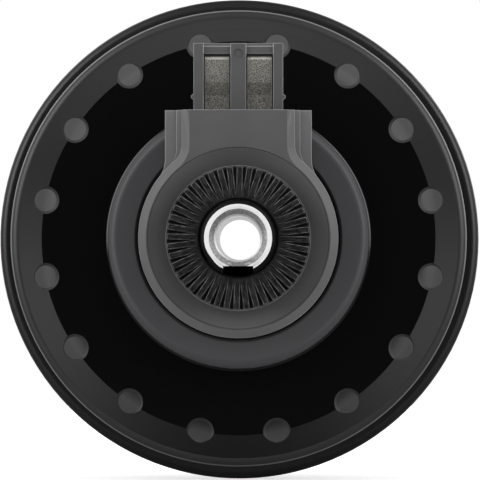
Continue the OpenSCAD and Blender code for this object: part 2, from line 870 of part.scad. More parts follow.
module coil_winding() {
    color(copper_color) ring(winding_r - winding_fill, winding_in_r, stator_right + plate_t + bobbin_wall,
        stator_left - plate_t - bobbin_wall);
}

module stator_nut(y0, y1) {
    difference() {
        hexagon(stator_nut_flats, y0, y1);
        bar(axle_r, y0 - over, y1 + over);
    }
}

module stator_nut_right() {
    color(steel_color) stator_nut(stator_right - stator_nut_t, stator_right);
}

module stator_nut_left() {
    color(steel_color) stator_nut(stator_left, stator_left + stator_nut_t);
}

axle();
lock_nut_right();
clamp_ring();
connector_cover();
terminal_base();
contact_left();
contact_right();
lead_wire_left();
lead_wire_right();
lead_spacer();
cone_right();
cone_left();
stator_nut_right();
stator_nut_left();
stator_sleeve();
coil_bobbin();
coil_winding();
claw_plate_right();
claw_plate_left();
spacer_left();
washer_left();
lock_nut_left();
hub_shell();
end_cap();
cup_right();
cup_left();
seal_right();
seal_left();
o_ring();
back_iron();
magnet_ring();
retainer_right();
balls_right();
retainer_left();
balls_left();
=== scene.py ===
"""Looks of a bicycle hub dynamo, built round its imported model. Metres, axle along Y, connector end at -Y."""

import math

import bmesh
import bpy
from mathutils import Matrix, Vector


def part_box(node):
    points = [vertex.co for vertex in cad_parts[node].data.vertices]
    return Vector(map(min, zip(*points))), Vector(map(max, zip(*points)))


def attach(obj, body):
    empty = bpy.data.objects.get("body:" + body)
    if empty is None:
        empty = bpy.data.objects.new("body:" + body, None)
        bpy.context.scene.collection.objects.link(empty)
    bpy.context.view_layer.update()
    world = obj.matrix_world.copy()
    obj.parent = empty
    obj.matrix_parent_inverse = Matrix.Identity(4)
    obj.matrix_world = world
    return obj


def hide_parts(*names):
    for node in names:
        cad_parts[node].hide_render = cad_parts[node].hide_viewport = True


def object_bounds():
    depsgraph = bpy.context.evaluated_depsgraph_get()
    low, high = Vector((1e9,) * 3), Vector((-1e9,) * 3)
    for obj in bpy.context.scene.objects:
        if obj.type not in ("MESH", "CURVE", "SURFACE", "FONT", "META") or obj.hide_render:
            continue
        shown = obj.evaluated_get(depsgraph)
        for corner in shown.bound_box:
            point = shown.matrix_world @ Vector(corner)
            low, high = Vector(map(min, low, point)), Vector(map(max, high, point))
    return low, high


MM = 0.001
# A Mix node numbers the sockets of its two colours
COLOUR_A, COLOUR_B = 6, 7
# An edge is sharp from this angle on, and on the nuts and the axle's thread from the smaller one
SHARP_EDGE = math.radians(33)
SHARP_THREAD = math.radians(28)

bpy.context.scene.view_settings.view_transform = "Standard"
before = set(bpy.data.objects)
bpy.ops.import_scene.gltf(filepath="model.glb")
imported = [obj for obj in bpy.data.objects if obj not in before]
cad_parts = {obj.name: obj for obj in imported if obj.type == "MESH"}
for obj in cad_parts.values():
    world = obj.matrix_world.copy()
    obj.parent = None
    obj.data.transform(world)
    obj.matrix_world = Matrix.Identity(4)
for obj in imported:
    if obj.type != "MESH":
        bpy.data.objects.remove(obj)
cad_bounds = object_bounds()


# Colours and nodes


def rgb(code):
    """A colour written as sRGB hex, as linear RGBA."""
    parts = [int(code[i : i + 2], 16) / 255 for i in (1, 3, 5)]
    return [c / 12.92 if c <= 0.04045 else ((c + 0.055) / 1.055) ** 2.4 for c in parts] + [1.0]


def add(tree, kind, inputs=None, **settings):
    """Adds a node. A node or socket given as an input is linked, and any other value is set on the input."""
    node = tree.nodes.new(kind)
    for name, value in settings.items():
        setattr(node, name, value)
    for key, value in (inputs or {}).items():
        if isinstance(value, bpy.types.Node):
            value = next(socket for socket in value.outputs if socket.enabled)
        if isinstance(value, bpy.types.NodeSocket):
            tree.links.new(value, node.inputs[key])
        elif isinstance(value, str) and value.startswith("#"):
            node.inputs[key].default_value = rgb(value)
        else:
            node.inputs[key].default_value = value
    return node


def new_material(name):
    """An empty material and its node tree."""
    mat = bpy.data.materials.new(name)
    mat.use_nodes = True
    mat.node_tree.nodes.clear()
    return mat, mat.node_tree


def finish_shader(tree, inputs):
    """The material's one shader, with everything that feeds it."""
    shader = add(tree, "ShaderNodeBsdfPrincipled", inputs)
    add(tree, "ShaderNodeOutputMaterial", {"Surface": shader})


# What several finishes share: where a point lies on the hub, and the marks that turning leaves


def axle_place(tree):
    """Distance from the axle's line, and place along it."""
    point = add(tree, "ShaderNodeTexCoord").outputs["Object"]
    flat = add(tree, "ShaderNodeVectorMath", {0: point, 1: (1, 0, 1)}, operation="MULTIPLY")
    radius = add(tree, "ShaderNodeVectorMath", {0: flat}, operation="LENGTH").outputs["Value"]
    return radius, add(tree, "ShaderNodeSeparateXYZ", {0: point}).outputs["Y"]


def turning_marks(tree, pitch_mm):
    """Rings round the axle, a tool's feed apart, that vary a little from one to the next."""
    radius, along = axle_place(tree)
    spot = add(tree, "ShaderNodeCombineXYZ", {0: radius, 1: along})
    return add(tree, "ShaderNodeTexNoise", {"Vector": spot, "Scale": 1 / (pitch_mm * MM), "Detail": 2.0,
        "Roughness": 0.5})


def turning_direction(tree):
    """The way the tool ran: round the axle. Highlights are pulled out across it."""
    point = add(tree, "ShaderNodeTexCoord").outputs["Object"]
    return add(tree, "ShaderNodeVectorMath", {0: point, 1: (0, 1, 0)}, operation="CROSS_PRODUCT")


def grain(tree, size_mm, detail=3.0, roughness=0.6):
    """Even speckle with grains of one size, as a cast, moulded or etched surface has."""
    return add(tree, "ShaderNodeTexNoise", {"Vector": add(tree, "ShaderNodeTexCoord").outputs["Object"],
        "Scale": 1 / (size_mm * MM), "Detail": detail, "Roughness": roughness})


# Finishes, each named for what it is and how its surface was made


def marked(tree, marks, smoothest, roughest, depth_mm=0.0, strength=0.5):
    """What marks do to a surface: it is rougher where they are high, and they stand out by their depth."""
    inputs = {"Roughness": add(tree, "ShaderNodeMapRange", {"Value": marks, "From Min": 0.3, "From Max": 0.7,
        "To Min": smoothest, "To Max": roughest})}
    if depth_mm:
        inputs["Normal"] = add(tree, "ShaderNodeBump", {"Height": marks, "Distance": depth_mm * MM,
            "Strength": strength})
    return inputs


def anodised_aluminium(name, dark, light, rough, anisotropy, specular=0.5, from_mm=(-1, 0), to_mm=(98, 99)):
    """Turned aluminium, black anodised: fine rings from the tool, closed and darkened by the oxide. Nearer
    the axle's line or farther from it than the distances given, it fades to full black."""
    mat, tree = new_material(name)
    marks = turning_marks(tree, 0.12)
    radius = axle_place(tree)[0]
    nearer = add(tree, "ShaderNodeMapRange", {"Value": radius, "From Min": from_mm[0] * MM,
        "From Max": from_mm[1] * MM, "To Min": 1.0, "To Max": 0.0})
    farther = add(tree, "ShaderNodeMapRange", {"Value": radius, "From Min": to_mm[0] * MM,
        "From Max": to_mm[1] * MM})
    full_black = add(tree, "ShaderNodeMath", {0: nearer, 1: farther}, operation="MAXIMUM")
    oxide = add(tree, "ShaderNodeMix", {"Factor": marks, COLOUR_A: dark, COLOUR_B: light}, data_type="RGBA")
    finish_shader(tree, {
        "Base Color": add(tree, "ShaderNodeMix", {"Factor": full_black, COLOUR_A: oxide, COLOUR_B: "#0e0e0f"},
            data_type="RGBA"),
        "Specular IOR Level": specular,
        "Anisotropic": anisotropy,
        "Tangent": turning_direction(tree),
        **marked(tree, marks, rough - 0.03, rough + 0.03, 0.002),
    })
    return mat


def turned_ring_finish(name, dark, light):
    """Turned steel ring, dark plated: an even grey with fine rings, a little brighter to the sides."""
    mat, tree = new_material(name)
    marks = turning_marks(tree, 0.1)
    finish_shader(tree, {
        "Base Color": add(tree, "ShaderNodeMix", {"Factor": marks, COLOUR_A: dark, COLOUR_B: light},
            data_type="RGBA"),
        "Anisotropic": 0.85,
        "Tangent": turning_direction(tree),
        **marked(tree, marks, 0.46, 0.54, 0.002),
    })
    return mat


def turned_steel(name, dark, light, rough, anisotropy, pitch_mm):
    """Steel straight from the lathe or the grinder: fine rings, and highlights pulled out across them."""
    mat, tree = new_material(name)
    marks = turning_marks(tree, pitch_mm)
    finish_shader(tree, {
        "Base Color": add(tree, "ShaderNodeMix", {"Factor": marks, COLOUR_A: dark, COLOUR_B: light},
            data_type="RGBA"),
        "Metallic": 1.0,
        "Anisotropic": anisotropy,
        "Tangent": turning_direction(tree),
        **marked(tree, marks, rough - 0.04, rough + 0.04, 0.003),
    })
    return mat


def countersink_steel():
    """The countersink in the axle's end: turned with a worn tool, so that it is streaked and duller, and
    painted near white where it meets the bore, a painted highlight."""
    mat, tree = new_material("streaked_turned_steel")
    streaks = grain(tree, 0.2, 3.0, 0.7)
    marks = turning_marks(tree, 0.08)
    spread = add(tree, "ShaderNodeMapRange", {"Value": streaks, "From Min": 0.35, "From Max": 0.65})
    streaked = add(tree, "ShaderNodeMix", {"Factor": spread, COLOUR_A: "#7c7c7c", COLOUR_B: "#bcbcbc"},
        data_type="RGBA")
    # Painted highlight: near white for the first fraction of a millimetre out from the bore
    past_bore = add(tree, "ShaderNodeMapRange", {"Value": axle_place(tree)[0], "From Min": 2.76 * MM,
        "From Max": 2.82 * MM})
    finish_shader(tree, {
        "Base Color": add(tree, "ShaderNodeMix", {"Factor": past_bore, COLOUR_A: "#f0f0f0",
            COLOUR_B: streaked}, data_type="RGBA"),
        "Metallic": 0.75,
        **marked(tree, streaks, 0.34, 0.55),
        "Normal": add(tree, "ShaderNodeBump", {"Height": marks, "Distance": 0.006 * MM, "Strength": 0.6}),
    })
    return mat


def faced_steel():
    """The axle's end face: turned clean and lightly frosted, so that it is bright from every side."""
    mat, tree = new_material("frosted_turned_steel")
    marks = turning_marks(tree, 0.06)
    finish_shader(tree, {
        "Base Color": add(tree, "ShaderNodeMix", {"Factor": marks, COLOUR_A: "#d0d0d0", COLOUR_B: "#e4e4e4"},
            data_type="RGBA"),
        "Metallic": 0.15,
        **marked(tree, marks, 0.4, 0.5),
    })
    return mat


def black_oxide_steel(name, dark, light, specular=0.35):
    """Steel, pressed and blackened in an oxide bath: near black and half matt, streaked the way that the
    metal flowed, outwards from the bore."""
    mat, tree = new_material(name)
    radius, along = axle_place(tree)
    point = add(tree, "ShaderNodeSeparateXYZ", {0: add(tree, "ShaderNodeTexCoord").outputs["Object"]})
    turn = add(tree, "ShaderNodeMath", {0: point.outputs["X"], 1: point.outputs["Z"]}, operation="ARCTAN2")
    # Distance outwards counts for much less than distance round the axle, at 7 mm from it, so grains are long
    round_way = add(tree, "ShaderNodeMath", {0: turn, 1: 7 * MM}, operation="MULTIPLY")
    outwards = add(tree, "ShaderNodeMath", {0: radius, 1: 0.22}, operation="MULTIPLY")
    spot = add(tree, "ShaderNodeCombineXYZ", {0: round_way, 1: along, 2: outwards})
    streaks = add(tree, "ShaderNodeTexNoise", {"Vector": spot, "Scale": 1 / (0.13 * MM), "Detail": 3.0,
        "Roughness": 0.7})
    worn = add(tree, "ShaderNodeMapRange", {"Value": streaks, "From Min": 0.42, "From Max": 0.62})
    finish_shader(tree, {
        "Base Color": add(tree, "ShaderNodeMix", {"Factor": worn, COLOUR_A: dark, COLOUR_B: light},
            data_type="RGBA"),
        "Specular IOR Level": specular,
        **marked(tree, streaks, 0.36, 0.54, 0.03, 0.9),
    })
    return mat


def moulded_nylon(name, dark, light, frame_dark="#444445", frame_light="#4d4d4e"):
    """Glass-filled nylon, moulded in a spark-eroded tool: dark grey and matt, with a fine even grain.
    The frame round the terminals, from 15.2 mm up, is darker."""
    mat, tree = new_material(name)
    fine = grain(tree, 0.3, 3.0, 0.65)
    cloud = grain(tree, 4, 2.0)
    height = add(tree, "ShaderNodeSeparateXYZ", {0: add(tree, "ShaderNodeTexCoord").outputs["Object"]})
    in_frame = add(tree, "ShaderNodeMapRange", {"Value": height.outputs["Z"], "From Min": 15.05 * MM,
        "From Max": 15.2 * MM})
    body = add(tree, "ShaderNodeMix", {"Factor": cloud, COLOUR_A: dark, COLOUR_B: light}, data_type="RGBA")
    # The darker colour of the frame round the terminals
    polished = add(tree, "ShaderNodeMix", {"Factor": cloud, COLOUR_A: frame_dark, COLOUR_B: frame_light},
        data_type="RGBA")
    finish_shader(tree, {
        "Base Color": add(tree, "ShaderNodeMix", {"Factor": in_frame, COLOUR_A: body, COLOUR_B: polished},
            data_type="RGBA"),
        **marked(tree, fine, 0.4, 0.54, 0.012, 0.6),
    })
    return mat


def nickel_strip(name, dark, light, metallic=0.55):
    """Nickel-plated bronze strip, stamped: grey with a hint of yellow, and a coarse grain from plating."""
    mat, tree = new_material(name)
    coarse = grain(tree, 0.13, 3.0, 0.7)
    spread = add(tree, "ShaderNodeMapRange", {"Value": coarse, "From Min": 0.4, "From Max": 0.62})
    finish_shader(tree, {
        "Base Color": add(tree, "ShaderNodeMix", {"Factor": spread, COLOUR_A: dark, COLOUR_B: light},
            data_type="RGBA"),
        "Metallic": metallic,
        **marked(tree, coarse, 0.4, 0.6, 0.012, 0.8),
    })
    return mat


def plain_stock(name, dark, light, metallic, smoothest, roughest, grain_mm=1.5):
    """A piece's plain finish, with the faint mottle of the stock that it was made from."""
    mat, tree = new_material(name)
    mottle = grain(tree, grain_mm)
    finish_shader(tree, {
        "Base Color": add(tree, "ShaderNodeMix", {"Factor": mottle, COLOUR_A: dark, COLOUR_B: light},
            data_type="RGBA"),
        "Metallic": metallic,
        **marked(tree, mottle, smoothest, roughest),
    })
    return mat


# The end cap and the shell. Satin, as the bath leaves it: near black with a soft sheen
shell_black = anodised_aluminium("satin_black_anodised_aluminium", "#151516", "#1a1a1b", 0.36, 0.6)
# The cone with the spoke holes: black, with long highlights across the tool's fine rings
cone_black = anodised_aluminium("fine_turned_black_anodised_aluminium", "#0a0a0b", "#0d0d0e", 0.38, 0.85, 0.7)
# The dish: a black mirror
dish_black = anodised_aluminium("polished_black_anodised_aluminium", "#09090a", "#0a0a0b", 0.14, 0.6)
# The dome's face: a flat dark grey, which ends in black beside the cover, a painted shadow of the gap under
# the cover's edge
dome_grey = anodised_aluminium("brushed_black_anodised_aluminium", "#38383a", "#414143", 0.5, 0.8, 0.45,
    (12.2, 12.3))
# The near flange's rim: lighter, a painted sheen where its rounding catches the lamps
rim_painted_sheen = anodised_aluminium("black_anodised_aluminium_painted_rim_sheen", "#242425", "#2c2c2d", 0.38, 0.4)
# The foot of the far flange: a matt mid grey of painted light, standing in for the light on its fillet, which
# shows through the spoke holes
far_foot_painted_light = anodised_aluminium("black_anodised_aluminium_with_painted_light", "#4a4a4b", "#565657", 0.5, 0.3, 0.4,
    (22.4, 24.6), (26.7, 27.1))
# The chamfers of the spoke holes: a thin grey ring round each hole, a painted highlight where they catch the
# light
chamfer_painted_highlight = anodised_aluminium("black_anodised_aluminium_painted_chamfer_highlight", "#2c2c2d", "#363637", 0.42, 0.2)
# The crest of the near flange's rim: a thin pale line of painted highlight
crest_painted_highlight = anodised_aluminium("black_anodised_aluminium_painted_crest_highlight", "#5c5c5d", "#6c6c6d", 0.4, 0.3)
# The ring, the mouldings, the nuts and the contacts. Each finish for rounded edges and the contacts' top rolls
# is paler: a painted highlight, where those edges catch the light. The nuts' tooth tops are worn where the
# fork rubs
ring_grey = turned_ring_finish("dark_plated_turned_steel", "#404041", "#4b4b4c")
ring_edge_highlight = turned_ring_finish("dark_plated_steel_painted_edge_highlight", "#8c8c8d", "#9c9c9d")
cover_grey = moulded_nylon("dark_grey_moulded_nylon", "#434344", "#4e4e4f")
base_grey = moulded_nylon("grey_moulded_nylon", "#5f5f60", "#6b6b6c")
# Painted light: the cover's bevel round the ring, paler where the side light falls on it
bevel_painted_light = moulded_nylon("grey_moulded_nylon_painted_light", "#4f4f50", "#5b5b5c")
# Painted highlight: the pale rounds along the mouldings' edges
edge_painted_highlight_nylon = moulded_nylon("moulded_nylon_painted_edge_highlight", "#a6a6a7", "#bababb", "#a2a2a3", "#b6b6b7")
nut_black = black_oxide_steel("black_oxide_stamped_steel", "#0c0c0d", "#1c1c1d")
nut_top = black_oxide_steel("worn_black_oxide_tooth_tops", "#09090a", "#29292b")
# Painted highlight: the paler lips of the nuts' grooves and the rounded rim of their teeth
nut_edge_highlight = black_oxide_steel("black_oxide_steel_painted_edge_highlight", "#3a3a3b", "#747475")
thread_black = black_oxide_steel("oiled_black_oxide_thread", "#070708", "#141415", 0.12)
bore_steel = turned_steel("reamed_bright_steel", "#cfcfcf", "#f2f2f2", 0.14, 0.6, 0.06)
steel_bright = turned_steel("bright_turned_steel", "#c8c8c8", "#e2e2e2", 0.35, 0.5, 0.08)
bearing_steel = turned_steel("ground_bearing_steel", "#b8bbbf", "#cfd2d6", 0.2, 0.4, 0.05)
nickel = nickel_strip("nickel_plated_stamped_bronze", "#4e4c47", "#b0aea7")
# Painted highlight: the contacts' rounded edges and the roll at their top
nickel_edge_highlight = nickel_strip("nickel_plate_painted_edge_highlight", "#8c8a84", "#b8b6af", 0.1)
# Painted shade: the contacts' faces that lean down and back
nickel_painted_shade = nickel_strip("nickel_plated_stamped_bronze_painted_shade", "#3d3b36", "#96948c")
# Rubber is black and soft-looking, with a faint bloom. The wires, the coil, the iron, the magnets and the
# bobbin lie inside: each has the plain colour of its stock
rubber = plain_stock("black_moulded_nitrile_rubber", "#161617", "#1f1f20", 0.0, 0.55, 0.7, 2.5)
pressed_steel = plain_stock("pressed_steel_retainer", "#8f9194", "#a3a5a8", 1.0, 0.29, 0.41)
lead_sleeve = plain_stock("black_sleeved_lead", "#101011", "#19191a", 0.0, 0.44, 0.56)
copper = plain_stock("enamelled_copper_winding", "#8a4a24", "#a65f33", 0.8, 0.24, 0.36, 0.3)
magnetic_iron = plain_stock("pressed_magnetic_iron", "#5d5a57", "#6e6a66", 0.8, 0.44, 0.56)
ferrite = plain_stock("sintered_ferrite_magnet", "#2e2e30", "#3b3b3d", 0.0, 0.54, 0.66)
bobbin_nylon = plain_stock("moulded_bobbin_nylon", "#ddd6c2", "#e9e3d2", 0.0, 0.39, 0.51)

# The pieces that keep their solids as they are
NODE_MATERIALS = {
    steel_bright: ["lead_spacer", "spacer_left", "washer_left", "stator_nut_right", "stator_nut_left"],
    bearing_steel: ["cone_right", "cone_left", "cup_right", "cup_left", "balls_right", "balls_left"],
    pressed_steel: ["retainer_right", "retainer_left"],
    rubber: ["seal_right", "seal_left", "o_ring"],
    lead_sleeve: ["lead_wire_left", "lead_wire_right"],
    copper: ["coil_winding"],
    magnetic_iron: ["claw_plate_right", "claw_plate_left", "stator_sleeve", "back_iron"],
    ferrite: ["magnet_ring"],
    bobbin_nylon: ["coil_bobbin"],
}

for material, names in NODE_MATERIALS.items():
    for name in names:
        for material_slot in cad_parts[name].material_slots:
            material_slot.material = material


# Pieces made again from their solids, with the finer forms that the solids leave out


def node_mesh(name, whole_flats=True):
    """A solid's mesh with its loose triangles merged and, if asked, its flat faces made whole."""
    bm = bmesh.new()
    bm.from_mesh(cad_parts[name].data)
    bmesh.ops.remove_doubles(bm, verts=bm.verts, dist=0.0005 * MM)
    if whole_flats:
        bmesh.ops.dissolve_limit(bm, angle_limit=math.radians(0.4), verts=bm.verts, edges=bm.edges)
    mesh = bpy.data.meshes.new(name + "_form")
    bm.to_mesh(mesh)
    bm.free()
    return mesh


def new_piece(piece_name, mesh, finishes, node, body="axle_assembly"):
    """Puts a mesh in the place of a node, on the node's body."""
    for material in finishes.values():
        mesh.materials.append(material)
    piece = bpy.data.objects.new(piece_name, mesh)
    bpy.context.scene.collection.objects.link(piece)
    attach(piece, body)
    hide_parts(node)
    return piece


# The turned rounds of the cap and the shell: each one's middle, from the axle's line and along it, and its
# radius, negative where the round is hollow
ROUNDS = [(26.2, -27.1, 1.0), (26.2, -26.9, 1.0), (14.3, -37.5, 1.1), (15.89, -29.39, -0.5),
    (29.0, 21.1, 1.0), (29.0, 22.1, 1.0), (25.3, 16.6, -3.5)]
# How far a corner may lie from its round, in millimetres, and how far a turned face may face round the axle
ON_ROUND = 0.012
TURNED_FACE = 0.06


def profile_normals(mesh):
    """Shades a turned piece as the lathe left it: flats, cones, cylinders and rounds are exact, and edges
    stay sharp. Faces that were not turned, such as drillings, are shaded as they lie."""

    def place(point):
        return math.hypot(point.x, point.z) / MM, point.y / MM

    def outwards(point):
        return Vector((point.x, 0, point.z)).normalized()

    def round_of(corners):
        """The round that all the corners lie on, or nothing."""
        for reach, along, radius in ROUNDS:
            if all(abs(math.hypot(r - reach, y - along) - abs(radius)) < ON_ROUND
                    for r, y in map(place, corners)):
                return reach, along, radius
        return None

    around = {}
    for face in mesh.polygons:
        for i in face.vertices:
            around.setdefault(i, []).append(face.normal)
    normals = []
    for face in mesh.polygons:
        out = outwards(face.center)
        round_way = out.cross(Vector((0, 1, 0)))
        corners = [mesh.vertices[i].co for i in face.vertices]
        on_round = round_of(corners)
        lean = math.atan2(face.normal.dot(out), face.normal.y)
        for i, corner in zip(face.vertices, corners):
            if on_round:
                reach, along, radius = on_round
                r, y = place(corner)
                normals.append((outwards(corner) * (r - reach) + Vector((0, y - along, 0))) / radius)
            elif abs(face.normal.dot(round_way)) < TURNED_FACE:
                normals.append(outwards(corner) * math.sin(lean) + Vector((0, math.cos(lean), 0)))
            else:
                near = [n for n in around[i] if n.dot(face.normal) > math.cos(SHARP_EDGE)]
                normals.append(sum(near, Vector((0, 0, 0))).normalized())
    mesh.normals_split_custom_set(normals)


def numbered(finishes):
    """The number of each finish's slot on a piece."""
    return {name: number for number, name in enumerate(finishes)}


def turned_piece(node, piece_name, finishes, body, finish_at):
    """A turned node with its shading made exact. Each face's finish goes by its distance from the axle's
    line, its place along it and the way that it faces."""
    mesh = node_mesh(node, whole_flats=False)
    mesh.shade_smooth()
    profile_normals(mesh)
    numbers = numbered(finishes)
    for face in mesh.polygons:
        x, y, z = face.center / MM
        face.material_index = numbers[finish_at(math.hypot(x, z), y, face.normal)]
    new_piece(piece_name, mesh, finishes, node, body)


# Where the turned pieces' finishes meet, in millimetres from the axle's line: where the chamfers of the spoke
# holes start, the ring of holes at which the dish ends, and where the rim, its crest and the far foot start
SPOKE_RING = 21
HOLE_CIRCLE = 23.45
RIM = 26.21
CREST = 27.02
FOOT = 21.5
# The same along the axle: the dome's front and how far back its face reaches, the near flange's face, and
# the far flange's inner side
DOME_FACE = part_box("end_cap")[0].y / MM
DOME_DEPTH = 1.1
FLANGE_FACE = -27
FAR_FLANGE = (15.5, 20.105)


def cap_finish(r, y, normal):
    """The end cap's finishes, from the dome out to the flange's crest and the spoke holes' chamfers."""
    if y < DOME_FACE + DOME_DEPTH:
        return "dome"
    if r > RIM:
        return "crest" if r > CREST and y < FLANGE_FACE else "rim"
    if y > FLANGE_FACE or normal.y > -0.3:
        return "satin"
    if r > SPOKE_RING and normal.y > -0.9:
        return "chamfer"
    return "cone" if r > HOLE_CIRCLE else "dish"


def shell_finish(r, y, normal):
    """The shell is satin, but for the far flange's inner side, which shows through the spoke holes: its finish
    named etched is painted light there.
    """
    return "etched" if FAR_FLANGE[0] < y < FAR_FLANGE[1] and r > FOOT else "satin"


def softened(node, piece_name, finishes, width_mm, rounded=lambda ends: True,
        finish_at=lambda face: "own"):
    """A node with its sharp edges rounded by a small real radius, and its flat faces kept flat."""
    mesh = node_mesh(node)
    mesh.shade_smooth()
    numbers = numbered(finishes)
    bm = bmesh.new()
    bm.from_mesh(mesh)
    weight = bm.edges.layers.float.new("bevel_weight_edge")
    for edge in bm.edges:
        if edge.calc_face_angle(0.0) > SHARP_EDGE:
            edge.smooth = rounded([v.co / MM for v in edge.verts])
            edge[weight] = float(edge.smooth)
    for face in bm.faces:
        face.material_index = numbers[finish_at(face)]
    bm.to_mesh(mesh)
    bm.free()
    piece = new_piece(piece_name, mesh, finishes, node)
    rounding = piece.modifiers.new("rounding", "BEVEL")
    rounding.width = width_mm * MM
    rounding.segments = 2
    rounding.limit_method = "WEIGHT"
    # The rounds take the piece's edge finish, a painted highlight
    rounding.material = numbers["edge"]
    flat = piece.modifiers.new("flat_faces", "WEIGHTED_NORMAL")
    flat.keep_sharp = True


COVER_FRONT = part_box("connector_cover")[0].y / MM
BLOCK_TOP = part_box("connector_cover")[1].z / MM
CONTACT_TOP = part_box("contact_left")[1].z / MM
EJECTOR_MARK_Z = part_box("terminal_base")[1].z / MM - 1.2
EJECTOR_MARK_REACH = 0.8
# Edges nearer to the axle's line lie behind the clamp ring, or are the ring's own inner edges, which take a
# painted highlight
RING_SEAT = 10.9
RING_INNER = 9.0
# How far off its plane an edge of the front or the top may lie, how far down a contact's roll goes, and how
# far behind the cover's front its set-back faces start
ON_PLANE = 0.05
CONTACT_ROLL = 0.4
SET_BACK = 0.9


def clear_of_ring(ends):
    """Edges of the plastic pieces away from the turned ring's seat."""
    return min(math.hypot(e.x, e.z) for e in ends) > RING_SEAT


def ring_edges(ends):
    """The turned ring's edges round the nut, which take a painted highlight."""
    return max(math.hypot(e.x, e.z) for e in ends) < RING_INNER


def cover_edges(ends):
    """The cover's outline and its top. The edge between its face and its bevel stays crisp."""
    on_face = all(e.y < COVER_FRONT + ON_PLANE for e in ends)
    on_top = all(e.z > BLOCK_TOP - ON_PLANE for e in ends)
    return clear_of_ring(ends) and (on_top or not on_face)


def base_edges(ends):
    """The base's edges, but for the ejector mark on its rib, which stays crisp."""
    reach = max(math.hypot(e.x, e.z - EJECTOR_MARK_Z) for e in ends)
    return clear_of_ring(ends) and reach > EJECTOR_MARK_REACH


def contact_finish(face):
    """A contact strip is painted bright on the roll at its top, a painted highlight, and darker where it leans
    down and back, painted shade.
    """
    if face.normal.z > 0.1 and face.calc_center_median().z / MM > CONTACT_TOP - CONTACT_ROLL:
        return "edge"
    return "dull" if face.normal.z < -0.1 else "own"


def cover_finish(face):
    """Faces that look forwards from behind the cover's bevel are painted paler, lifting the shade that the
    block casts there, and the bevel round the ring is painted paler as the light that it catches.
    """
    if face.normal.y < -0.99 and face.calc_center_median().y / MM > COVER_FRONT + SET_BACK:
        return "set_back"
    return "bevel" if -0.95 < face.normal.y < -0.2 else "own"


# On the cover, the set-back faces and the bevel take paler greys: painted light
softened("connector_cover", "moulded_cover", {"own": cover_grey, "edge": edge_painted_highlight_nylon, "set_back": base_grey,
    "bevel": bevel_painted_light}, 0.1, cover_edges, cover_finish)
softened("terminal_base", "moulded_base", {"own": base_grey, "edge": edge_painted_highlight_nylon}, 0.1,
    base_edges)
for side in ("left", "right"):
    softened("contact_" + side, side + "_contact_strip", {"own": nickel, "edge": nickel_edge_highlight,
        "dull": nickel_painted_shade}, 0.13, finish_at=contact_finish)
softened("clamp_ring", "turned_clamp_ring", {"own": ring_grey, "edge": ring_edge_highlight}, 0.12,
    ring_edges)
turned_piece("end_cap", "turned_end_cap", {"satin": shell_black, "cone": cone_black, "dish": dish_black,
    "dome": dome_grey, "rim": rim_painted_sheen, "crest": crest_painted_highlight, "chamfer": chamfer_painted_highlight}, "hub",
    cap_finish)
turned_piece("hub_shell", "turned_hub_shell", {"satin": shell_black, "etched": far_foot_painted_light},
    "hub", shell_finish)


def through_tree(mesh, tree, values):
    """The plain mesh that a Geometry Nodes tree makes of a mesh, with these values for its named inputs."""
    piece = bpy.data.objects.new("worked", mesh)
    bpy.context.scene.collection.objects.link(piece)
    nodes = piece.modifiers.new("nodes", "NODES")
    nodes.node_group = tree
    for item in tree.interface.items_tree:
        if item.item_type == "SOCKET" and item.in_out == "INPUT" and item.name in values:
            nodes[item.identifier] = values[item.name]
    depsgraph = bpy.context.evaluated_depsgraph_get()
    made = bpy.data.meshes.new_from_object(piece.evaluated_get(depsgraph), depsgraph=depsgraph)
    bpy.data.objects.remove(piece)
    return made


def new_geometry_tree(name, sockets):
    """A Geometry Nodes tree with a mesh in and out, and named inputs."""
    tree = bpy.data.node_groups.new(name, "GeometryNodeTree")
    tree.interface.new_socket("Mesh", in_out="INPUT", socket_type="NodeSocketGeometry")
    for socket, kind in sockets.items():
        tree.interface.new_socket(socket, in_out="INPUT", socket_type="NodeSocket" + kind)
    tree.interface.new_socket("Mesh", in_out="OUTPUT", socket_type="NodeSocketGeometry")
    return tree, add(tree, "NodeGroupInput").outputs


def serrated_face_tree():
    """Copies one tooth round the axle, joins the copies into a closed flange, and finishes its parts."""
    tree, given = new_geometry_tree("serrated_face", {"Teeth": "Int", "Top": "Material",
        "Edge": "Material", "Groove": "Material"})
    circle = add(tree, "GeometryNodeMeshCircle", {"Vertices": given["Teeth"], "Radius": 0.0})
    index = add(tree, "GeometryNodeInputIndex")
    step = add(tree, "ShaderNodeMath", {0: 2 * math.pi, 1: given["Teeth"]}, operation="DIVIDE")
    angle = add(tree, "ShaderNodeMath", {0: index, 1: step}, operation="MULTIPLY")
    turn = add(tree, "ShaderNodeCombineXYZ", {1: angle})
    copies = add(tree, "GeometryNodeInstanceOnPoints", {"Points": circle, "Instance": given["Mesh"],
        "Rotation": turn})
    real = add(tree, "GeometryNodeRealizeInstances", {0: copies})
    joined = add(tree, "GeometryNodeMergeByDistance", {0: real, "Distance": 0.001 * MM})
    part = add(tree, "GeometryNodeInputNamedAttribute", {"Name": "tooth_part"}, data_type="INT")
    for number, finish in enumerate(("Top", "Edge", "Groove")):
        here = add(tree, "FunctionNodeCompare", {2: part, 3: number}, data_type="INT", operation="EQUAL")
        joined = add(tree, "GeometryNodeSetMaterial", {0: joined, "Selection": here,
            "Material": given[finish]})
    add(tree, "NodeGroupOutput", {0: joined})
    return tree


# The lock nuts' sizes, as the solids have them, in millimetres
NUT_TEETH = 44
NUT_RADIUS = 8.3
NUT_FLANGE = 2.4
NUT_THICK = 4.8
NUT_BORE = 4.5
NUT_MOUTH = 0.2
NUT_FLATS = 14
GROOVE_START = 4.8
GROOVE_DEPTH = 0.5
GROOVE_WIDTH = 0.52
TOOTH_EDGE = 0.06
# A groove deepens and widens outwards in steps
GROOVE_STEPS = 6
